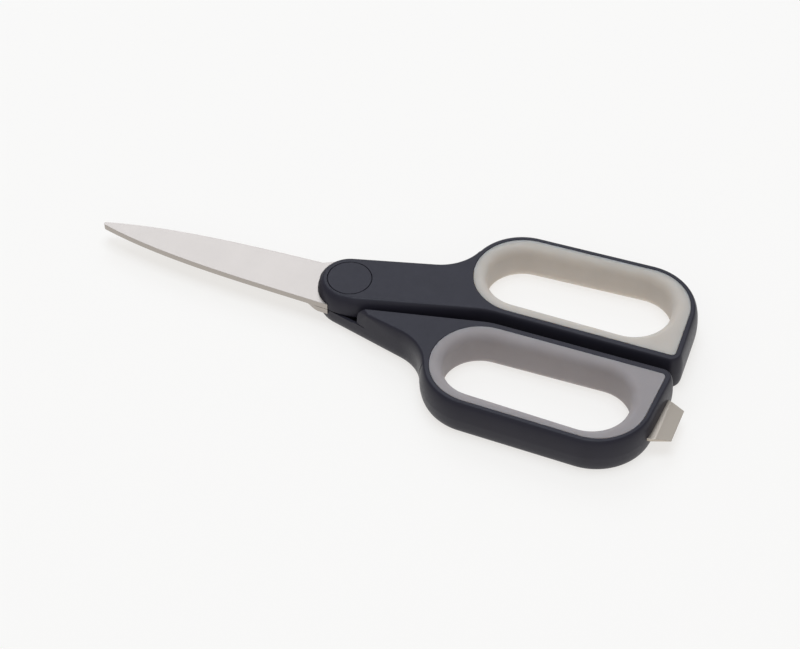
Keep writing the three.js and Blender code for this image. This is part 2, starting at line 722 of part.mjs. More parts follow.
const lowerHalf = new THREE.Group();
const lowerHandle = cut(solid(turnedOver(handleBody())), openerSlot());
const lowerGrip = cut(solid(turnedOver(gripBody())), openerSlot());
addPiece(lowerHalf, 'lower_blade', turnedOver(lowerBlade()), STEEL);
addPiece(lowerHalf, 'lower_handle', geometryOf(lowerHandle), DARK_PLASTIC);
addPiece(lowerHalf, 'lower_grip', geometryOf(lowerGrip), GREY_RUBBER);
addPiece(lowerHalf, 'lower_pivot_cap', turnedOver(pivotCap()), DARK_PLASTIC);
addPiece(lowerHalf, 'package_opener', geometryOf(openerBody()), STEEL);
addPiece(lowerHalf, 'pivot_bolt', geometryOf(pivotBolt()), STEEL);
addPiece(lowerHalf, 'flat_washer', geometryOf(flatWasher()), STEEL);
addPiece(lowerHalf, 'disc_spring', geometryOf(discSpring()), STEEL);
addPiece(lowerHalf, 'pivot_nut', geometryOf(pivotNut()), STEEL);

scissors.add(upperHalf, lowerHalf);

export default scissors;
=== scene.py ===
"""Kitchen scissors: finished surfaces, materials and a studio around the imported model.

Every piece is worked out in metres, in the model's own frame: +X from the tip to the finger loops, +Y to the
upper half's handle, +Z up, and the origin on the pivot's axis, on the surface that the scissors lie on.
Shapes are made for the upper half. The lower half's are the same, turned over about the X axis.
"""

import math
from typing import NamedTuple

import bmesh
import bpy
import numpy as np
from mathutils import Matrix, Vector


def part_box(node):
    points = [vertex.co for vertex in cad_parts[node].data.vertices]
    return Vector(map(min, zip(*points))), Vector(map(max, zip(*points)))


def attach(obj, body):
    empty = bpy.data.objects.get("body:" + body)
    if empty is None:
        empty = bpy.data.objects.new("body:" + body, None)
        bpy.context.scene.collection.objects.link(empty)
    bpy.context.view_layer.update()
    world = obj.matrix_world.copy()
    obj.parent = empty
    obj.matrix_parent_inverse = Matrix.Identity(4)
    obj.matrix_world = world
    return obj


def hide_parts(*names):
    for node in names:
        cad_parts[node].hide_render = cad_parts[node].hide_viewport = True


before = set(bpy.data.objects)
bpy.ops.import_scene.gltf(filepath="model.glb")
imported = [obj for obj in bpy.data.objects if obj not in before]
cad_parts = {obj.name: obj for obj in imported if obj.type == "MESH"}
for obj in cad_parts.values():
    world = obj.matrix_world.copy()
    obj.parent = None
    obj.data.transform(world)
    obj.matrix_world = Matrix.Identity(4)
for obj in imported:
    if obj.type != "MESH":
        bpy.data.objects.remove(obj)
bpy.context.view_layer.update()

bl_info = {
    "name": "Kitchen Scissors",
    "version": (1, 0, 0),
    "blender": (4, 5, 0),
    "location": "3D View > Sidebar > Scissors",
    "description": "Builds a pair of kitchen scissors around a packed model",
    "category": "Add Mesh",
}

MM = 0.001

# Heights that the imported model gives
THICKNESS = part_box("upper_handle")[1].z
MATING = THICKNESS / 2
BLADE_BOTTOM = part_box("upper_blade")[0].z
BLADE_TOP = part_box("upper_blade")[1].z
BOSS_BOTTOM = 2 * BLADE_BOTTOM - MATING
CAP_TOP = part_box("upper_pivot_cap")[1].z

# Fineness of the surfaces
ARC_STEPS = 24
STRAIGHT_STEPS = 10
EDGE_STEPS = 12
EDGE_SPREAD = 0.35  # width to height of an edge whose rows turn evenly
SPINE_STEPS = 72
TURN_STEPS = 144
PAST = 1 * MM  # how far a cutter runs past the face that it cuts
SHARP_ANGLE = math.radians(35)
STEEL_SHARP_ANGLE = math.radians(7)
WELD = 0.0001 * MM  # points closer than this are one
SEAM_STEPS = 3
CAP_EDGE_STEPS = 4

# Places and sides of the lights, in metres, and the camera's sensor, in millimetres
OVERHEAD_PLACE, OVERHEAD_SIDES = (0.05, 0.15, 3.0), (1.8, 1.8)
FILL_PLACE, FILL_SIDES = (0.6, -2.2, 1.9), (2.4, 2.0)
CARD_PLACE, CARD_SIDES = (-1.2, 2.25, 2.45), (2.1, 2.0)
SENSOR = 36


# Settings

def size(name, description, millimetres):
    """A length, given in millimetres and kept in metres."""
    return bpy.props.FloatProperty(
        name=name, description=description, default=millimetres * MM, unit="LENGTH", precision=5
    )


def angle(name, description, degrees):
    """An angle, given in degrees and kept in radians."""
    return bpy.props.FloatProperty(
        name=name, description=description, default=math.radians(degrees), subtype="ANGLE"
    )


def colour(name, description, red, green, blue):
    """A linear colour."""
    return bpy.props.FloatVectorProperty(
        name=name, description=description, default=(red, green, blue), subtype="COLOR", min=0, max=1
    )


def amount(name, description, value):
    """A plain number."""
    return bpy.props.FloatProperty(name=name, description=description, default=value)


class HandleSizes(bpy.types.PropertyGroup):
    """Outline, edges and relief of a handle."""

    boss_radius: size("Boss radius", "From the pivot to the boss's front and near side", 11.75)
    boss_round: size("Boss rounding", "Corner of the boss on its far side", 12.4)
    boss_side_round: size("Boss side rounding", "Where the boss runs into the stem's inner wall", 20)
    stem_outer_offset: size("Stem outer offset", "From the pivot to the stem's outer wall", 11.65)
    stem_outer_angle: angle("Stem outer angle", "Slope of the stem's outer wall", 15.1)
    stem_inner_angle: angle("Stem inner angle", "Slope of the stem's inner wall", 15.9)
    stem_inner_offset: size("Stem inner offset", "From the pivot to the stem's inner wall", 12.7)
    stem_round: size("Stem rounding", "Where the stem's inner wall runs into the loop", 30)
    shoulder_x: size("Shoulder X", "A point on the slope from the stem to the loop", 37.75)
    shoulder_y: size("Shoulder Y", "A point on the slope from the stem to the loop", 27.9)
    shoulder_angle: angle("Shoulder angle", "Slope from the stem to the loop", 72)
    shoulder_round: size("Shoulder rounding", "Inner curve of the shoulder", 17.5)
    gap: size("Gap", "Between the two closed handles", 3.2)
    loop_depth: size("Loop depth", "From the loop's inner wall to its outer wall", 44.5)
    loop_middle: size("Loop middle", "Where the loop's depth is measured", 80)
    loop_lean: angle("Loop lean", "Slope of the loop's outer wall", 1.5)
    end_x: size("End X", "A point on the end wall", 125.55)
    end_y: size("End Y", "A point on the end wall", 15)
    end_lean: angle("End lean", "Lean of the end wall", 2.9)
    front_round: size("Front rounding", "Outer corner of the loop, towards the pivot", 21.5)
    back_round: size("Back rounding", "Outer corner of the loop, at the end", 22.4)
    corner_round: size("Corner rounding", "Inner corner of the loop, at the end", 4.75)
    boss_edge_width: size("Boss edge width", "Rounding of the boss's edge, from above", 2.85)
    boss_edge_height: size("Boss edge height", "Rounding of the boss's edge, from the side", 6)
    boss_back_edge_width: size("Boss back edge width", "Rounding on the boss's far side, from above", 2.35)
    boss_back_edge_height: size("Boss back edge height", "Rounding on the boss's far side, from the side", 4.8)
    flank_edge_width: size("Flank edge width", "Rounding of the stem's inner edge at the boss, from above", 3.6)
    flank_edge_height: size("Flank edge height", "Rounding of the stem's inner edge at the boss, from the side", 6.8)
    stem_edge_width: size("Stem edge width", "Rounding of the shoulder's edge, from above", 2.2)
    stem_edge_height: size("Stem edge height", "Rounding of the shoulder's edge, from the side", 4.8)
    loop_edge_width: size("Loop edge width", "Rounding of the loop's wall, from above", 1.6)
    loop_front_edge_width: size("Loop front edge width", "Rounding of the loop towards the pivot, from above", 2.5)
    loop_back_edge_width: size("Loop back edge width", "Rounding of the loop's outer end, from above", 2.1)
    loop_corner_edge_width: size("Loop corner edge width", "Rounding of the loop's inner end, from above", 1.35)
    loop_edge_height: size("Loop edge height", "Rounding of the loop's wall, from the side", 7)
    nose_edge_width: size("Nose edge width", "Rounding of the raised wall's edge at its nose, from above", 2)
    nose_edge_height: size("Nose edge height", "Rounding of the raised wall's edge at its nose, from the side", 6)
    cheek_edge_width: size("Cheek edge width", "Rounding of the nose's outer corner, from above", 3.4)
    cheek_edge_height: size("Cheek edge height", "Rounding of the nose's outer corner, from the side", 6.5)
    cheek_start: size("Cheek start", "Where the stem's outer wall turns into the nose's cheek", 12.5)
    cheek_turn: angle("Cheek turn", "How far the cheek turns in", 3)
    foot_edge: size("Foot edge", "Rounding of the raised wall's edge beside the nose", 1)
    foot_shoulder_width: size("Foot shoulder width", "Rounding at the shoulder, from above", 1.7)
    foot_shoulder_height: size("Foot shoulder height", "Rounding at the shoulder, from the side", 5)
    relief_angle: angle("Relief angle", "Slope of the wall beside the other half's stem", 12.03)
    relief_offset: size("Relief offset", "From the pivot to the wall beside the other half's stem", 13.15)
    relief_radius: size("Relief radius", "Room around the other half's boss", 15.2)
    relief_round: size("Relief rounding", "Where the relief runs into the loop", 30)
    nose_angle: angle("Nose angle", "Place of the raised wall's nose around the pivot", 54.3)
    nose_round: size("Nose rounding", "Rounding of the raised wall's nose, from above", 0.8)
    recess_rim: size("Recess rim", "Thickness of the rim around the boss's recess", 1.1)
    recess_drop: size("Recess drop", "How far that rim stays behind the mating face", 0.4)


class GripSizes(bpy.types.PropertyGroup):
    """A grip's seat in the loop and the finger hole in it."""

    rim_outer: size("Outer rim", "Hard plastic along the loop's outer wall", 3.3)
    rim_inner: size("Inner rim", "Hard plastic along the loop's inner wall", 3.2)
    rim_end: size("End rim", "Hard plastic along the end wall", 3)
    front_x: size("Front", "The seat's end towards the pivot", 40.8)
    front_round: size("Front rounding", "The seat's corners towards the pivot", 18.9)
    back_round: size("Back rounding", "The seat's outer corner at the end", 18.6)
    corner_round: size("Corner rounding", "The seat's inner corner at the end", 1.7)
    width_inner: size("Inner width", "Grip along the loop's inner wall", 4.95)
    inner_lean: angle("Inner lean", "Lean of the hole's inner wall", 0.7)
    width_outer: size("Outer width", "Grip along the loop's outer wall", 4.65)
    outer_lean: angle("Outer lean", "Lean of the hole's outer wall", 1)
    width_front: size("Front width", "Grip at the end towards the pivot", 5.15)
    width_end: size("End width", "Grip along the end wall", 6.7)
    hole_round: size("Hole rounding", "Corners of the finger hole", 14.2)
    nose: size("Nose", "Rounding from the grip's face into the hole", 3.5)
    rib_height: size("Rib height", "Locking rib under the grip", 4)
    rib_depth: size("Rib depth", "Locking rib under the grip", 1.2)
    seam: size("Seam", "Gap between the grip and the hard plastic", 0.08)
    seam_edge: size("Seam edge", "Rounding of both edges along that gap", 0.18)


class BladeSizes(bpy.types.PropertyGroup):
    """A blade's outline, bevel and holes."""

    heel_x: size("Heel", "End of the blade's side, in front of the pivot", -4.5)
    heel_half: size("Heel half-width", "From the middle to the spine at the heel", 11.19)
    first_run: size("First run", "Length of the spine curve's first handle", 31.5)
    first_half: size("First half-width", "Half-width at the spine curve's first handle", 9.74)
    second_run: size("Second run", "Place of the spine curve's second handle", 65.5)
    second_half: size("Second half-width", "Half-width at the spine curve's second handle", 9.39)
    tip_half: size("Tip half-width", "Half-width at the end of the spine's curve", 2.05)
    tip_length: size("Tip length", "Blunt end past the spine's curve", 1.1)
    heel_flat: size("Heel flat", "Length of the heel's straight end", 3.6)
    heel_ramp: size("Heel ramp", "Length over which the heel turns into the cutting edge", 7)
    edge_inset: size("Edge inset", "Cutting edge inside the other blade's spine", 0.6)
    bevel: size("Bevel", "Width of the ground bevel", 2)
    tip_bevel: size("Tip bevel", "Width of the ground bevel at the tip", 1.8)
    root_radius: size("Root radius", "The blade's round root over the pivot", 9.2)
    tang_angle: angle("Tang angle", "Slope of the tang in the handle", 15)
    tang_length: size("Tang length", "From the pivot to the tang's end", 40)
    tang_width: size("Tang width", "Width of the tang", 9)
    tang_hole: size("Tang hole", "Radius of the holes that lock the tang", 1.75)
    post_room: size("Post room", "Gap around the handle's posts in those holes", 0.3)
    first_hole: size("First hole", "From the pivot along the tang", 19)
    second_hole: size("Second hole", "From the pivot along the tang", 31)
    soft_edge: size("Soft edge", "Rounding of the blade's edges", 0.05)
    pivot_hole: size("Pivot hole", "Radius of the upper blade's hole", 3.1)
    pivot_key: size("Pivot key", "Half-width of the lower blade's square hole", 3.3)


class PivotSizes(bpy.types.PropertyGroup):
    """Caps over the pivot."""

    cap_radius: size("Cap radius", "Outer radius of a cap", 8.1)
    cap_thickness: size("Cap thickness", "Thickness of a cap", 1.4)
    cap_edge: size("Cap edge", "Rounding of a cap's edge", 0.22)
    groove: size("Groove", "Gap around a cap", 0.15)
    ring_depth: size("Ring depth", "Snap ring under a cap", 1)
    ring_outer: size("Ring outer radius", "Snap ring under a cap", 7.1)
    ring_inner: size("Ring inner radius", "Snap ring under a cap", 6.4)
    chamber: size("Chamber radius", "Room for the nut or the bolt's head", 7.4)


class OpenerSizes(bpy.types.PropertyGroup):
    """The package opener in the lower handle's end."""

    root: size("Root width", "Width at the end wall", 20.4)
    edge: size("Edge width", "Width at the opener's edge", 15.2)
    reach: size("Reach", "From the end wall to the opener's edge", 7.1)
    bevel: size("Bevel", "Length of the ground bevel", 5.35)
    thickness: size("Thickness", "Thickness at the root", 1.2)
    edge_thickness: size("Edge thickness", "Thickness at the opener's edge", 0.3)
    middle: size("Middle", "From the scissors' middle to the opener's middle", 20.2)
    tail: size("Tail", "Length inside the handle", 5.6)
    ear: size("Ear", "Width of the tail's ears", 2)
    ear_length: size("Ear length", "Length of the tail's ears", 2.4)
    soft_edge: size("Soft edge", "Rounding of the edges", 0.09)
    slot: size("Slot", "Gap around the opener in the handle", 0.1)


class FinishColours(bpy.types.PropertyGroup):
    """Colours of the finishes."""

    plastic: colour("Plastic", "Dark moulded handles and caps", 0.0235, 0.0219, 0.0318)
    light_grip: colour("Light grip", "Soft lining of the upper handle", 0.557, 0.506, 0.454)
    grey_grip: colour("Grey grip", "Soft lining of the lower handle", 0.348, 0.317, 0.317)
    light_scatter: size("Light grip scatter", "How far light travels in the light grip", 7)
    grey_scatter: size("Grey grip scatter", "How far light travels in the grey grip", 4)
    blade: colour("Blade", "Satin steel of the blades", 0.435, 0.397, 0.363)
    opener: colour("Opener", "Steel of the package opener", 0.52, 0.46, 0.395)
    fastener: colour("Fastener", "Turned steel inside the pivot", 0.55, 0.54, 0.52)
    floor: colour("Floor", "Pale lit table", 0.27, 0.27, 0.27)


class StageSettings(bpy.types.PropertyGroup):
    """Camera, light and floor."""

    camera_x: size("Camera X", "Place of the camera", 306.58)
    camera_y: size("Camera Y", "Place of the camera", -759.23)
    camera_z: size("Camera Z", "Place of the camera", 853.5)
    azimuth: angle("Azimuth", "Turn of the camera around the object", 20.699)
    elevation: angle("Elevation", "How far the camera looks down", 46.525)
    lens: amount("Lens", "Focal length in millimetres on a 36 mm sensor", 144)
    sky: amount("Sky", "Strength of the soft light from all round", 0.35)
    glow: colour("Glow", "The lit table's own light", 0.708, 0.695, 0.677)
    overhead: amount("Overhead", "Power of the light above the object", 44)
    overhead_colour: colour("Overhead colour", "Cool light above the object", 0.84, 0.92, 1)
    fill: amount("Fill", "Power of the soft light in front of the object", 7)
    card: amount("Card", "Power of the wide light behind the object", 27)
    card_colour: colour("Card colour", "Cool light behind the object", 0.86, 0.91, 1)
    floor_width: size("Floor width", "Side of the floor", 6000)


class ScissorsSettings(bpy.types.PropertyGroup):
    """All the settings of the scissors."""

    handle: bpy.props.PointerProperty(type=HandleSizes, name="Handle", description="Handle sizes")
    grip: bpy.props.PointerProperty(type=GripSizes, name="Grip", description="Grip sizes")
    blade: bpy.props.PointerProperty(type=BladeSizes, name="Blade", description="Blade sizes")
    pivot: bpy.props.PointerProperty(type=PivotSizes, name="Pivot", description="Pivot sizes")
    opener: bpy.props.PointerProperty(type=OpenerSizes, name="Opener", description="Opener sizes")
    finish: bpy.props.PointerProperty(type=FinishColours, name="Finish", description="Colours")
    stage: bpy.props.PointerProperty(type=StageSettings, name="Stage", description="Camera and light")


# Outlines

class Wall(NamedTuple):
    """A straight wall with the material on its left: a point on it, its heading, and the rounding and the edge
    (width from above, height from the side) of the corner at its end."""

    x: float
    y: float
    heading: float
    round: float = 0.0
    edge: tuple = (0.0, 0.0)

    def moved_in(self, distance):
        """The same wall, moved to its left."""
        return self._replace(
            x=self.x - distance * math.sin(self.heading), y=self.y + distance * math.cos(self.heading)
        )


def quarter(steps):
    """Angles from nothing to a right angle, in even steps."""
    return np.linspace(0, math.pi / 2, steps + 1)


def direction(heading):
    """Unit vectors of headings."""
    return np.stack([np.cos(heading), np.sin(heading)], -1)


def crossings(places, headings):
    """Where each wall of a ring meets the next one."""
    onward = np.roll(places, -1, 0) - places
    following = np.roll(headings, -1)
    cross = onward[:, 0] * np.sin(following) - onward[:, 1] * np.cos(following)
    return places + (cross / np.sin(following - headings))[:, None] * direction(headings)


def outline(walls, share=0.0):
    """The closed outline of a ring of walls, and the height of the edge at each of its points.

    Each wall is moved in, at both ends, by a share of the edge widths there. Each corner is an arc that touches
    both walls, of the corner's own radius less what it moved in, and limited by the walls' lengths.
    """
    headings = np.array([w.heading for w in walls])
    widths, heights = np.array([w.edge for w in walls]).T
    rounds = np.array([w.round for w in walls])
    corners = crossings(np.array([(w.x, w.y) for w in walls]), headings)
    inward = direction(headings + math.pi / 2)
    starts = np.roll(corners, 1, 0) + inward * share * np.roll(widths, 1)[:, None]
    runs = corners + inward * share * widths[:, None] - starts
    headings = np.arctan2(runs[:, 1], runs[:, 0])
    corners = crossings(starts, headings)
    turns = (np.roll(headings, -1) - headings + math.pi) % (2 * math.pi) - math.pi
    sides = np.sign(turns)
    radii = np.maximum(rounds - sides * share * widths, 0)
    reaches = radii * np.tan(np.abs(turns) / 2)
    lengths = np.linalg.norm(corners - np.roll(corners, 1, 0), axis=1)
    fits = np.minimum(1, lengths / np.maximum(np.roll(reaches, 1) + reaches, WELD))
    scales = np.minimum(fits, np.roll(fits, -1))
    begins = corners - direction(headings) * (reaches * scales)[:, None]
    radii = radii * scales
    centres = begins + direction(headings + sides * math.pi / 2) * radii[:, None]
    steps = np.linspace(0, 1, ARC_STEPS + 1)
    angles = (headings - sides * math.pi / 2)[:, None] + turns[:, None] * steps
    arcs = centres[:, None] + radii[:, None, None] * direction(angles)
    parts = np.linspace(0, 1, STRAIGHT_STEPS + 1)[1:-1, None]
    straights = np.roll(arcs[:, -1:], 1, 0) * (1 - parts) + arcs[:, :1] * parts
    before = np.roll(heights, 1)[:, None]
    slopes = before + (heights[:, None] - before) * parts[:, 0]
    level = np.concatenate([slopes, np.repeat(heights[:, None], ARC_STEPS + 1, 1)], 1)
    return np.concatenate([straights, arcs], 1).reshape(-1, 2), level.ravel()


def inset(walls, distance):
    """The outline of a ring of walls, moved in by the same distance all round."""
    return outline([w._replace(edge=(distance, 0.0)) for w in walls], 1.0)[0]


def at_height(points, height):
    """Points of an outline at one height, or at one height each."""
    return np.column_stack([points, np.broadcast_to(height, len(points))])


def wall_from_pivot(distance, heading, rounding, edge=(0.0, 0.0)):
    """A wall at a distance from the pivot, which lies on the material's side of it."""
    return Wall(0.0, 0.0, heading, rounding, edge).moved_in(-distance)


def loop_walls(h):
    """The inner, end and outer walls of the finger loop."""
    inner_y, height = h.gap / 2, h.loop_edge_height
    inner = Wall(h.loop_middle, inner_y, 0.0, h.corner_round, (h.loop_corner_edge_width, height))
    end = Wall(h.end_x, h.end_y, math.pi / 2 + h.end_lean, h.back_round, (h.loop_back_edge_width, height))
    outer_y = inner_y + h.loop_depth
    outer = Wall(h.loop_middle, outer_y, math.pi + h.loop_lean, h.front_round, (h.loop_front_edge_width, height))
    return inner, end, outer


def shoulder_wall(h, edge):
    """The slope from the loop down to the stem."""
    return Wall(h.shoulder_x, h.shoulder_y, math.pi + h.shoulder_angle, h.shoulder_round, edge)


def handle_walls(h):
    """The upper layer's outline: the boss over the pivot, the stem and the loop."""
    boss = (h.boss_edge_width, h.boss_edge_height)
    back = (h.boss_back_edge_width, h.boss_back_edge_height)
    flank = (h.flank_edge_width, h.flank_edge_height)
    stem = (h.stem_edge_width, h.stem_edge_height)
    loop = (h.loop_edge_width, h.loop_edge_height)
    return [
        wall_from_pivot(h.boss_radius, 0.0, h.boss_side_round, flank),
        wall_from_pivot(h.stem_inner_offset, h.stem_inner_angle, h.stem_round, loop),
        *loop_walls(h),
        shoulder_wall(h, stem),
        wall_from_pivot(h.stem_outer_offset, math.pi + h.stem_outer_angle, h.boss_round, back),
        wall_from_pivot(h.boss_radius, -math.pi / 2, h.boss_radius, boss),
    ]


def foot_walls(h):
    """The lower layer's outline, which leaves room for the other half's boss and stem, and ends in a nose."""
    nose = (h.nose_edge_width, h.nose_edge_height)
    cheek = (h.cheek_edge_width, h.cheek_edge_height)
    stem = (h.foot_edge, h.foot_edge)
    shoulder = (h.foot_shoulder_width, h.foot_shoulder_height)
    loop = (h.loop_edge_width, h.loop_edge_height)
    soft_corner = 2 * h.nose_round
    outer = wall_from_pivot(h.stem_outer_offset, math.pi + h.stem_outer_angle, soft_corner, stem)
    cheek_y = outer.y + (h.cheek_start - outer.x) * math.tan(h.stem_outer_angle)
    return [
        wall_from_pivot(-h.relief_offset, -h.relief_angle, h.relief_round, loop),
        *loop_walls(h),
        shoulder_wall(h, shoulder),
        outer,
        Wall(h.cheek_start, cheek_y, outer.heading + h.cheek_turn, h.nose_round, cheek),
        wall_from_pivot(-h.relief_radius, h.nose_angle - math.pi / 2, soft_corner, nose),
    ]


def seat_walls(h, g):
    """The grip's seat in the loop."""
    inner, end, outer = loop_walls(h)
    return [
        inner.moved_in(g.rim_inner)._replace(round=g.corner_round),
        end.moved_in(g.rim_end)._replace(round=g.back_round),
        outer.moved_in(g.rim_outer)._replace(round=g.front_round),
        Wall(g.front_x, h.gap / 2, -math.pi / 2, g.front_round),
    ]


def hole_walls(h, g):
    """The finger hole inside the grip."""
    inner, end, outer, front = seat_walls(h, g)
    walls = [
        inner._replace(heading=inner.heading - g.inner_lean).moved_in(g.width_inner),
        end.moved_in(g.width_end),
        outer._replace(heading=outer.heading + g.outer_lean).moved_in(g.width_outer),
        front.moved_in(g.width_front),
    ]
    return [w._replace(round=g.hole_round) for w in walls]


# Meshes

def grid_faces(rows, columns, closed_rows):
    """Quads over a grid whose columns close into a ring, and whose rows may close too."""
    row = np.arange(rows if closed_rows else rows - 1)[:, None]
    column = np.arange(columns)[None]
    after, up = (column + 1) % columns, (row + 1) % rows
    quads = [row * columns + column, row * columns + after, up * columns + after, up * columns + column]
    return np.stack(quads, -1).reshape(-1, 4).tolist()


def new_piece(name, points, faces):
    """A mesh object at the origin, with doubled points merged and flat slivers taken out."""
    mesh = bpy.data.meshes.new(name)
    mesh.from_pydata(points.tolist(), [], faces)
    work = bmesh.new()
    work.from_mesh(mesh)
    bmesh.ops.remove_doubles(work, verts=work.verts, dist=WELD)
    work.to_mesh(mesh)
    work.free()
    mesh.validate()
    piece = bpy.data.objects.new(name, mesh)
    bpy.context.scene.collection.objects.link(piece)
    return piece


def loft(name, rings):
    """A closed skin over rings of equally many points, from the lowest to the highest, with flat ends."""
    rows, columns = len(rings), len(rings[0])
    top = np.arange((rows - 1) * columns, rows * columns)
    ends = [np.arange(columns)[::-1].tolist(), top.tolist()]
    return new_piece(name, np.concatenate(rings), grid_faces(rows, columns, False) + ends)


def prism(name, points, bottom, top):
    """An upright solid over one outline."""
    return loft(name, [at_height(points, bottom), at_height(points, top)])


def band(name, rings):
    """A closed skin over rings that come back to the first one, as a grip around its hole does."""
    return new_piece(name, np.concatenate(rings), grid_faces(len(rings), len(rings[0]), True))


def turned(name, profile, centre=(0.0, 0.0)):
    """A solid turned about an upright axis: (radius, height) pairs that start and end on the axis, from the
    lowest to the highest."""
    radius, height = np.array(profile).T
    spin = direction(np.linspace(0, 2 * math.pi, TURN_STEPS, endpoint=False))
    rings = [at_height(np.array(centre) + r * spin, z) for r, z in zip(radius, height)]
    return new_piece(name, np.concatenate(rings), grid_faces(len(rings), TURN_STEPS, False))


def rod(name, radius, bottom, top, centre=(0.0, 0.0)):
    """A plain upright cylinder."""
    return turned(name, [(0, bottom), (radius, bottom), (radius, top), (0, top)], centre)


def bake(piece):
    """Makes a piece's modifiers part of its mesh."""
    shape = piece.evaluated_get(bpy.context.evaluated_depsgraph_get())
    mesh = bpy.data.meshes.new_from_object(shape)
    piece.modifiers.clear()
    piece.data = mesh


def combine(operation, piece, *others):
    """Joins or cuts a solid with others, which are used up."""
    for other in others:
        modifier = piece.modifiers.new("Combine", "BOOLEAN")
        modifier.operation = operation
        modifier.solver = "MANIFOLD"
        modifier.object = other
        bake(piece)
        bpy.data.objects.remove(other)
    return piece


def copy_of(piece, name):
    """A copy of a piece with its own mesh."""
    twin = bpy.data.objects.new(name, piece.data.copy())
    bpy.context.scene.collection.objects.link(twin)
    return twin


def turn_over(piece):
    """Turns an upper piece over about the X axis, at half the thickness: y and z change sign."""
    mesh = piece.data
    points = np.empty(len(mesh.vertices) * 3, np.float32)
    mesh.vertices.foreach_get("co", points)
    points = points.reshape(-1, 3) * (1, -1, -1) + (0, 0, THICKNESS)
    mesh.vertices.foreach_set("co", points.astype(np.float32).ravel())
    mesh.update()
    return piece


def finish_piece(piece, node, body, material, sharp=SHARP_ANGLE):
    """Smooths a piece, gives it its material, and lets it stand for its node on its body."""
    mesh = piece.data
    mesh.polygons.foreach_set("use_smooth", np.ones(len(mesh.polygons), bool))
    mesh.set_sharp_from_angle(angle=sharp)
    shading = piece.modifiers.new("Even shading", "WEIGHTED_NORMAL")
    shading.keep_sharp = True
    mesh.materials.clear()
    mesh.materials.append(material)
    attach(piece, body)
    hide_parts(node)


# Handles

def edge_rings(walls, face, side):
    """Rings from a plate's upright wall over its rounded edge to one face: a quarter of an ellipse, whose width
    and height change along the wall. The plate lies above the face where side is 1, and below it where -1."""
    rings = []
    slopes = quarter(EDGE_STEPS)
    for a in np.arctan2(np.sin(slopes), EDGE_SPREAD * np.cos(slopes)):
        points, heights = outline(walls, 1 - math.cos(a))
        rings.append(at_height(points, face + side * heights * (1 - math.sin(a))))
    return rings


def seat_rings(walls, rib_depth, rib_height, lip):
    """Rings of the loop's opening from under the handle to above it: flared by a lip at both mouths, and drawn
    in over the locking rib at half the thickness."""
    levels = [(lip, -PAST)]
    levels += [(lip * (1 - math.sin(a)), lip * (1 - math.cos(a))) for a in quarter(SEAM_STEPS)]
    low = MATING - rib_height / 2
    levels += [(0.0, low), (-rib_depth, low)]
    levels += [(out, THICKNESS - z) for out, z in reversed(levels)]
    return [at_height(inset(walls, -out), z) for out, z in levels]


def recess(h, b):
    """The boss's recess on the cutting edge's side of the tang, inside a low rim, as two cutters."""
    reach = 4 * h.relief_radius  # well past the boss
    corners = np.array([(-reach, 0.0), (reach, 0.0), (reach, reach), (-reach, reach)])
    turn = np.stack([direction(b.tang_angle), direction(b.tang_angle + math.pi / 2)])
    floor = BOSS_BOTTOM - PAST
    cutters = []
    for points, top in (
        (inset(handle_walls(h), h.recess_rim), BLADE_TOP),
        (inset(handle_walls(h), -PAST), BOSS_BOTTOM + h.recess_drop),
    ):
        side = prism("recess_side", corners @ turn, floor - PAST, THICKNESS)
        around = rod("recess_room", h.relief_radius, floor - PAST, THICKNESS)
        cutters.append(combine("INTERSECT", prism("recess", points, floor, top), around, side))
    return cutters


def handle_solid(settings):
    """A handle of two layers: the boss, stem and loop above, and the loop's lower half below. Posts fill the
    tang's holes."""
    h, g, b, p = settings.handle, settings.grip, settings.blade, settings.pivot
    walls = handle_walls(h)
    upper = [at_height(outline(walls)[0], BOSS_BOTTOM), *edge_rings(walls, THICKNESS, -1)]
    walls = foot_walls(h)
    lower = [*reversed(edge_rings(walls, 0.0, 1)), at_height(outline(walls)[0], BOSS_BOTTOM)]
    body = combine("UNION", loft("handle", upper), loft("foot", lower))
    seat = loft("seat", seat_rings(seat_walls(h, g), g.rib_depth, g.rib_height, g.seam_edge))
    cap_room = p.cap_radius + p.groove
    cap_floor = THICKNESS - p.cap_thickness
    bend = p.cap_edge * (1 - math.sqrt(0.5))
    bore = turned("bore", [
        (0, BLADE_TOP - PAST),
        (p.chamber, BLADE_TOP - PAST),
        (p.chamber, cap_floor),
        (cap_room, cap_floor),
        (cap_room, THICKNESS - p.cap_edge),
        (cap_room + bend, THICKNESS - bend),
        (cap_room + p.cap_edge, THICKNESS),
        (cap_room + p.cap_edge, THICKNESS + PAST),
        (0, THICKNESS + PAST),
    ])
    pocket = prism("pocket", blade_outline(b, 0.0), BLADE_BOTTOM - PAST, BLADE_TOP)
    posts = [
        rod("post", b.tang_hole - b.post_room, BOSS_BOTTOM, BLADE_TOP + PAST / 2, tang_place(b, along))
        for along in (b.first_hole, b.second_hole)
    ]
    hollow = combine("DIFFERENCE", body, seat, pocket, *recess(h, b), bore)
    return combine("UNION", hollow, *posts)


# Grips

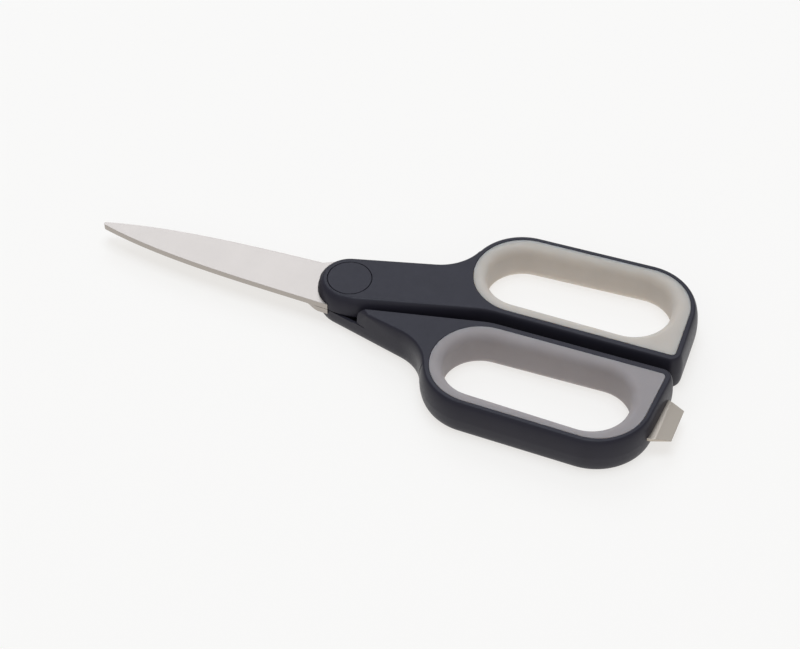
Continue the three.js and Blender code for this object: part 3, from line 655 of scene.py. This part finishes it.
def grip_rings(settings):
    """Rings around a grip's section, one for each point of its profile: the outer wall with the groove over the
    locking rib, the flat face, the rounded nose into the finger hole, the hole's wall, and back underneath."""
    h, g = settings.handle, settings.grip
    seat, hole = seat_walls(h, g), hole_walls(h, g)
    low = MATING - g.rib_height / 2 - g.seam
    soft = g.seam_edge
    upper = [at_height(inset(seat, g.seam + g.rib_depth), MATING)]
    upper += [at_height(inset(seat, g.seam + g.rib_depth), THICKNESS - low)]
    upper += [at_height(inset(seat, g.seam), THICKNESS - low)]
    upper += [
        at_height(inset(seat, g.seam + soft * (1 - math.cos(a))), THICKNESS - soft * (1 - math.sin(a)))
        for a in quarter(SEAM_STEPS)
    ]
    upper += [
        at_height(inset(hole, -g.nose * (1 - math.sin(a))), THICKNESS - g.nose * (1 - math.cos(a)))
        for a in quarter(2 * EDGE_STEPS)
    ]
    lower = [ring * (1, 1, -1) + (0, 0, THICKNESS) for ring in reversed(upper)]
    return [*upper, *lower[:-1]]


# Blades

def tang_place(b, along):
    """A point on the tang's middle line."""
    return along * direction(b.tang_angle)


def spine_curve(b):
    """The closed blades' half-width from the heel to the tip: a cubic Bezier curve."""
    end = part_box("upper_blade")[0].x + b.tip_length
    knots = np.array([
        (b.heel_x, b.heel_half),
        (b.heel_x - b.first_run, b.first_half),
        (b.heel_x - b.second_run, b.second_half),
        (end, b.tip_half),
    ])
    t = np.linspace(0, 1, SPINE_STEPS + 1)[:, None]
    weights = [(1 - t) ** 3, 3 * t * (1 - t) ** 2, 3 * t**2 * (1 - t), t**3]
    return sum(w * k for w, k in zip(weights, knots))


def edge_inset(b, x, bevel_share):
    """How far the cutting side lies inside the spine's half-width: nothing at the heel, then the edge's inset
    and a share of the bevel, which narrows towards the tip."""
    ramp = np.clip((b.heel_x - b.heel_flat - x) / b.heel_ramp, 0, 1)
    along = np.clip((x - b.heel_x) / (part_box("upper_blade")[0].x - b.heel_x), 0, 1)
    bevel = b.bevel + (b.tip_bevel - b.bevel) * along**2
    return ramp**2 * (3 - 2 * ramp) * (b.edge_inset + bevel_share * bevel)


def arc(radius, start, stop, centre=(0.0, 0.0)):
    """Points of an arc."""
    return np.array(centre) + radius * direction(np.linspace(start, stop, 2 * ARC_STEPS + 1))


def blade_outline(b, bevel_share, grow=0.0):
    """One face of the blade: from the tip along the spine, around the root and the tang, and back along the
    cutting side, with a blunt half-elliptic tip."""
    spine = spine_curve(b)
    root, heel_x = b.root_radius + grow, b.heel_x + grow
    half_tang = b.tang_width / 2 + grow
    heel_angle = math.acos(heel_x / root)
    tang_turn = math.asin(half_tang / root)
    back = spine[::-1] * (1, -1) - (0, grow)
    front = spine + (0, grow) - np.stack([np.zeros(len(spine)), edge_inset(b, spine[:, 0], bevel_share)], 1)
    back[-1, 0] = front[0, 0] = heel_x
    tang_end = tang_place(b, b.tang_length - b.tang_width / 2)
    middle, half = (front[-1, 1] + back[0, 1]) / 2, (front[-1, 1] - back[0, 1]) / 2
    a = np.linspace(0.5, 1.5, ARC_STEPS + 1)[1:-1] * math.pi
    tip = np.stack([back[0, 0] + (b.tip_length + grow) * np.cos(a), middle + half * np.sin(a)], 1)
    return np.concatenate([
        back,
        arc(root, -heel_angle, b.tang_angle - tang_turn),
        arc(half_tang, b.tang_angle - math.pi / 2, b.tang_angle + math.pi / 2, tang_end),
        arc(root, b.tang_angle + tang_turn, heel_angle),
        front,
        tip,
    ])


def blade_solid(b, name):
    """A blade from its flat mating face to its outer face, which the bevel leaves narrower."""
    soft = b.soft_edge
    near = blade_outline(b, 0.0)
    far = blade_outline(b, 1.0)
    rise = soft / (BLADE_TOP - BLADE_BOTTOM)
    rings = [
        at_height(blade_outline(b, 0.0, -soft), BLADE_BOTTOM),
        at_height(near * (1 - rise) + far * rise, BLADE_BOTTOM + soft),
        at_height(near * rise + far * (1 - rise), BLADE_TOP - soft),
        at_height(blade_outline(b, 1.0, -soft), BLADE_TOP),
    ]
    blade = loft(name, rings)
    holes = [
        rod("hole", b.tang_hole, BLADE_BOTTOM - PAST, BLADE_TOP + PAST, tang_place(b, along))
        for along in (b.first_hole, b.second_hole)
    ]
    return combine("DIFFERENCE", blade, *holes)


# Opener

def opener_outline(settings, reach, grow=0.0):
    """The opener from above, at the upper half's place: ears and tail inside the handle, and a trapezoid outside
    that ends in its edge."""
    h, o = settings.handle, settings.opener
    x = h.end_x - (o.middle - h.end_y) * math.tan(h.end_lean)
    root = o.root / 2 + grow
    taper = (o.root - o.edge) / 2 / o.reach
    tail_x = x - o.tail - grow
    ear_x = tail_x + o.ear_length + 2 * grow
    half = np.array([
        (tail_x, root + o.ear),
        (ear_x, root + o.ear),
        (ear_x, root),
        (x, root),
        (x + reach, root - taper * reach),
    ])
    return np.concatenate([half * (1, -1), half[::-1]]) + (0, o.middle)


def opener_solid(settings):
    """A flat steel plate, ground on its upper side to a thin edge. It lies in the lower handle, so the ground
    side faces down here and turns up with the rest."""
    o = settings.opener
    low, high = MATING - o.thickness / 2, MATING + o.thickness / 2
    rings = [
        at_height(opener_outline(settings, o.reach - o.bevel), low),
        at_height(opener_outline(settings, o.reach), high - o.edge_thickness),
        at_height(opener_outline(settings, o.reach), high),
    ]
    return loft("package_opener", rings)


# Materials

def new_material(name, base, roughness, metallic=0.0, specular=0.5):
    """A material with one principled shader, and its node tree and shader for more detail."""
    material = bpy.data.materials.new(name)
    material.use_nodes = True
    shader = material.node_tree.nodes["Principled BSDF"]
    shader.inputs["Base Color"].default_value = (*base, 1)
    shader.inputs["Roughness"].default_value = roughness
    shader.inputs["Metallic"].default_value = metallic
    shader.inputs["Specular IOR Level"].default_value = specular
    return material, material.node_tree, shader


def noise(tree, scale, stretch=(1, 1, 1), turn=0.0, detail=3.0):
    """A noise texture on object coordinates, stretched and turned about the upright axis."""
    coordinates = tree.nodes.new("ShaderNodeTexCoord")
    mapping = tree.nodes.new("ShaderNodeMapping")
    mapping.inputs["Scale"].default_value = stretch
    mapping.inputs["Rotation"].default_value = (0, 0, turn)
    texture = tree.nodes.new("ShaderNodeTexNoise")
    texture.inputs["Scale"].default_value = scale
    texture.inputs["Detail"].default_value = detail
    tree.links.new(coordinates.outputs["Object"], mapping.inputs["Vector"])
    tree.links.new(mapping.outputs["Vector"], texture.inputs["Vector"])
    return texture.outputs["Fac"]


def vary(tree, value, low, high, socket):
    """Carries a noise value into a socket as a number between two limits."""
    spread = tree.nodes.new("ShaderNodeMapRange")
    spread.inputs["From Min"].default_value = 0.3
    spread.inputs["From Max"].default_value = 0.7
    spread.inputs["To Min"].default_value = low
    spread.inputs["To Max"].default_value = high
    tree.links.new(value, spread.inputs["Value"])
    tree.links.new(spread.outputs["Result"], socket)


def tint(tree, value, base, spread, socket):
    """Carries a noise value into a colour socket, a little darker or lighter than the base."""
    ramp = tree.nodes.new("ShaderNodeValToRGB")
    ramp.color_ramp.elements[0].position = 0.3
    ramp.color_ramp.elements[1].position = 0.7
    ramp.color_ramp.elements[0].color = (*(c * (1 - spread) for c in base), 1)
    ramp.color_ramp.elements[1].color = (*(min(c * (1 + spread), 1) for c in base), 1)
    tree.links.new(value, ramp.inputs["Fac"])
    tree.links.new(ramp.outputs["Color"], socket)


def bump(tree, value, strength, depth, shader):
    """Raises a surface by a noise value."""
    relief = tree.nodes.new("ShaderNodeBump")
    relief.inputs["Strength"].default_value = strength
    relief.inputs["Distance"].default_value = depth
    tree.links.new(value, relief.inputs["Height"])
    tree.links.new(relief.outputs["Normal"], shader.inputs["Normal"])


def moulded_plastic(base):
    """Dark plastic with a fine moulded grain."""
    material, tree, shader = new_material("moulded_plastic", base, roughness=0.38, specular=0.21)
    grain = noise(tree, 4200)
    bump(tree, grain, 0.35, 0.03 * MM, shader)
    vary(tree, noise(tree, 900), 0.34, 0.43, shader.inputs["Roughness"])
    tint(tree, noise(tree, 160), base, 0.05, shader.inputs["Base Color"])
    return material


def soft_grip(name, base, scatter):
    """Matt soft plastic with a faint grain."""
    material, tree, shader = new_material(name, base, roughness=0.7, specular=0.3)
    shader.inputs["Subsurface Weight"].default_value = 1.0
    shader.inputs["Subsurface Radius"].default_value = (1.0, 0.88, 0.76)
    shader.inputs["Subsurface Scale"].default_value = scatter
    bump(tree, noise(tree, 3600), 0.25, 0.03 * MM, shader)
    vary(tree, noise(tree, 700), 0.66, 0.76, shader.inputs["Roughness"])
    tint(tree, noise(tree, 120), base, 0.025, shader.inputs["Base Color"])
    return material


def ground_steel(name, base, roughness, turn):
    """Steel with fine grinding marks across the blade."""
    material, tree, shader = new_material(name, base, roughness, metallic=1.0)
    marks = noise(tree, 420, (16, 1, 1), turn, 4.0)
    bump(tree, marks, 0.06, 0.004 * MM, shader)
    vary(tree, marks, roughness - 0.03, roughness + 0.03, shader.inputs["Roughness"])
    tint(tree, noise(tree, 55, (1.5, 1, 1), turn), base, 0.018, shader.inputs["Base Color"])
    return material


def turned_steel(base):
    """Plain turned steel for the pieces inside the pivot."""
    material, tree, shader = new_material("turned_steel", base, roughness=0.35, metallic=1.0)
    vary(tree, noise(tree, 1500), 0.3, 0.42, shader.inputs["Roughness"])
    tint(tree, noise(tree, 300), base, 0.06, shader.inputs["Base Color"])
    return material


def lit_table(base, glow):
    """A pale translucent table, lit from below, with the faintest unevenness."""
    material, tree, shader = new_material("lit_table", base, roughness=0.9, specular=0.0)
    shader.inputs["Emission Color"].default_value = (*glow, 1)
    shader.inputs["Emission Strength"].default_value = 1
    tint(tree, noise(tree, 3), base, 0.002, shader.inputs["Base Color"])
    return material


# Light

def add_light(name, place, sides, power, tone=(1, 1, 1)):
    """A rectangular light that looks at the pivot."""
    lamp = bpy.data.lights.new(name, "AREA")
    lamp.shape = "RECTANGLE"
    lamp.size, lamp.size_y = sides
    lamp.energy = power
    lamp.color = tone
    light = bpy.data.objects.new(name, lamp)
    light.location = place
    light.rotation_euler = (-Vector(place)).to_track_quat("-Z", "Y").to_euler()
    bpy.context.scene.collection.objects.link(light)


# Operators

class ScissorsOperator:
    """What the operators share."""

    bl_options = {"REGISTER", "UNDO"}

    @classmethod
    def poll(cls, context):
        return context.scene is not None


class SCISSORS_OT_handles(ScissorsOperator, bpy.types.Operator):
    """Makes the two moulded handles"""

    bl_idname = "scissors.handles"
    bl_label = "Handles"

    def execute(self, context):
        settings = context.scene.scissors
        material = moulded_plastic(settings.finish.plastic)
        upper = handle_solid(settings)
        upper.name = "moulded_upper_handle"
        lower = copy_of(upper, "moulded_lower_handle")
        o = settings.opener
        gap = o.slot
        low, high = MATING - o.thickness / 2 - gap, MATING + o.thickness / 2 + gap
        slot = prism("slot", opener_outline(settings, o.reach + gap, gap), low, high)
        turn_over(combine("DIFFERENCE", lower, slot))
        finish_piece(upper, "upper_handle", "upper_half", material)
        finish_piece(lower, "lower_handle", "lower_half", material)
        return {"FINISHED"}


class SCISSORS_OT_grips(ScissorsOperator, bpy.types.Operator):
    """Makes the soft linings of the finger loops"""

    bl_idname = "scissors.grips"
    bl_label = "Grips"

    def execute(self, context):
        settings = context.scene.scissors
        finish = settings.finish
        rings = grip_rings(settings)
        upper = band("soft_upper_grip", rings)
        lower = turn_over(band("soft_lower_grip", rings))
        light = soft_grip("light_grip", finish.light_grip, finish.light_scatter)
        grey = soft_grip("grey_grip", finish.grey_grip, finish.grey_scatter)
        finish_piece(upper, "upper_grip", "upper_half", light)
        finish_piece(lower, "lower_grip", "lower_half", grey)
        return {"FINISHED"}


class SCISSORS_OT_blades(ScissorsOperator, bpy.types.Operator):
    """Makes the two ground blades"""

    bl_idname = "scissors.blades"
    bl_label = "Blades"

    def execute(self, context):
        settings = context.scene.scissors
        b = settings.blade
        low, high = BLADE_BOTTOM - PAST, BLADE_TOP + PAST
        square = b.pivot_key * np.array([(-1, -1), (1, -1), (1, 1), (-1, 1)])
        upper = combine("DIFFERENCE", blade_solid(b, "ground_upper_blade"), rod("hole", b.pivot_hole, low, high))
        lower = combine("DIFFERENCE", blade_solid(b, "ground_lower_blade"), prism("key", square, low, high))
        turn_over(lower)
        material = ground_steel("ground_steel", settings.finish.blade, roughness=0.36, turn=0.0)
        finish_piece(upper, "upper_blade", "upper_half", material, STEEL_SHARP_ANGLE)
        finish_piece(lower, "lower_blade", "lower_half", material, STEEL_SHARP_ANGLE)
        return {"FINISHED"}


class SCISSORS_OT_pivot(ScissorsOperator, bpy.types.Operator):
    """Makes the pivot's caps and finishes the fasteners under them"""

    bl_idname = "scissors.pivot"
    bl_label = "Pivot"

    def execute(self, context):
        settings = context.scene.scissors
        p = settings.pivot
        floor = THICKNESS - p.cap_thickness
        edge = [
            (p.cap_radius - p.cap_edge * (1 - math.cos(a)), CAP_TOP - p.cap_edge * (1 - math.sin(a)))
            for a in quarter(CAP_EDGE_STEPS)
        ]
        profile = [
            (0, floor),
            (p.ring_inner, floor),
            (p.ring_inner, floor - p.ring_depth),
            (p.ring_outer, floor - p.ring_depth),
            (p.ring_outer, floor),
            (p.cap_radius, floor),
            *edge,
            (0, CAP_TOP),
        ]
        material = bpy.data.materials["moulded_plastic"]
        upper = turned("round_upper_cap", profile)
        lower = turn_over(turned("round_lower_cap", profile))
        finish_piece(upper, "upper_pivot_cap", "upper_half", material)
        finish_piece(lower, "lower_pivot_cap", "lower_half", material)
        steel = turned_steel(settings.finish.fastener)
        for node in ("pivot_bolt", "pivot_nut", "flat_washer", "disc_spring"):
            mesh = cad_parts[node].data
            mesh.materials.clear()
            mesh.materials.append(steel)
        return {"FINISHED"}


class SCISSORS_OT_opener(ScissorsOperator, bpy.types.Operator):
    """Makes the package opener in the lower handle's end"""

    bl_idname = "scissors.opener"
    bl_label = "Package opener"

    def execute(self, context):
        settings = context.scene.scissors
        piece = turn_over(opener_solid(settings))
        piece.name = "ground_package_opener"
        soft = piece.modifiers.new("Soft edges", "BEVEL")
        soft.width = settings.opener.soft_edge
        soft.segments = 2
        soft.limit_method = "ANGLE"
        bake(piece)
        material = ground_steel("opener_steel", settings.finish.opener, roughness=0.4, turn=math.pi / 2)
        finish_piece(piece, "package_opener", "lower_half", material, STEEL_SHARP_ANGLE)
        return {"FINISHED"}


class SCISSORS_OT_stage(ScissorsOperator, bpy.types.Operator):
    """Makes the floor, the light and the camera"""

    bl_idname = "scissors.stage"
    bl_label = "Stage"

    def execute(self, context):
        scene, stage = context.scene, context.scene.scissors.stage
        half = stage.floor_width / 2
        corners = np.array([(-half, -half, 0), (half, -half, 0), (half, half, 0), (-half, half, 0)])
        floor = new_piece("floor", corners, [[0, 1, 2, 3]])
        floor.data.materials.append(lit_table(scene.scissors.finish.floor, stage.glow))
        world = bpy.data.worlds.new("soft_sky")
        world.use_nodes = True
        sky = world.node_tree.nodes["Background"]
        sky.inputs["Color"].default_value = (1, 1, 1, 1)
        sky.inputs["Strength"].default_value = stage.sky
        scene.world = world
        add_light("overhead", OVERHEAD_PLACE, OVERHEAD_SIDES, stage.overhead, stage.overhead_colour)
        add_light("fill", FILL_PLACE, FILL_SIDES, stage.fill)
        add_light("card", CARD_PLACE, CARD_SIDES, stage.card, stage.card_colour)
        lens = bpy.data.cameras.new("camera")
        lens.lens = stage.lens
        lens.sensor_width = SENSOR
        camera = bpy.data.objects.new("camera", lens)
        camera.location = (stage.camera_x, stage.camera_y, stage.camera_z)
        camera.rotation_euler = (math.pi / 2 - stage.elevation, 0, stage.azimuth)
        scene.collection.objects.link(camera)
        scene.camera = camera
        scene.view_settings.view_transform = "Standard"
        return {"FINISHED"}


class SCISSORS_PT_build(bpy.types.Panel):
    """Lists the operators that build the scissors."""

    bl_idname = "SCISSORS_PT_build"
    bl_label = "Kitchen Scissors"
    bl_space_type = "VIEW_3D"
    bl_region_type = "UI"
    bl_category = "Scissors"

    def draw(self, context):
        column = self.layout.column()
        for operator in OPERATORS:
            column.operator(operator.bl_idname)
        settings = context.scene.scissors
        for group in (settings.finish, settings.stage):
            box = self.layout.box()
            for name in group.__annotations__:
                box.prop(group, name)


OPERATORS = (
    SCISSORS_OT_stage,
    SCISSORS_OT_handles,
    SCISSORS_OT_grips,
    SCISSORS_OT_blades,
    SCISSORS_OT_pivot,
    SCISSORS_OT_opener,
)
CLASSES = (
    HandleSizes,
    GripSizes,
    BladeSizes,
    PivotSizes,
    OpenerSizes,
    FinishColours,
    StageSettings,
    ScissorsSettings,
    *OPERATORS,
    SCISSORS_PT_build,
)


def register():
    """Registers the classes and the scene's settings."""
    for each in CLASSES:
        bpy.utils.register_class(each)
    bpy.types.Scene.scissors = bpy.props.PointerProperty(type=ScissorsSettings)


def unregister():
    """Undoes register."""
    del bpy.types.Scene.scissors
    for each in reversed(CLASSES):
        bpy.utils.unregister_class(each)


def main():
    """Builds the scissors."""
    register()
    bpy.ops.scissors.stage()
    bpy.ops.scissors.handles()
    bpy.ops.scissors.grips()
    bpy.ops.scissors.blades()
    bpy.ops.scissors.pivot()
    bpy.ops.scissors.opener()


if __name__ == "__main__":
    main()
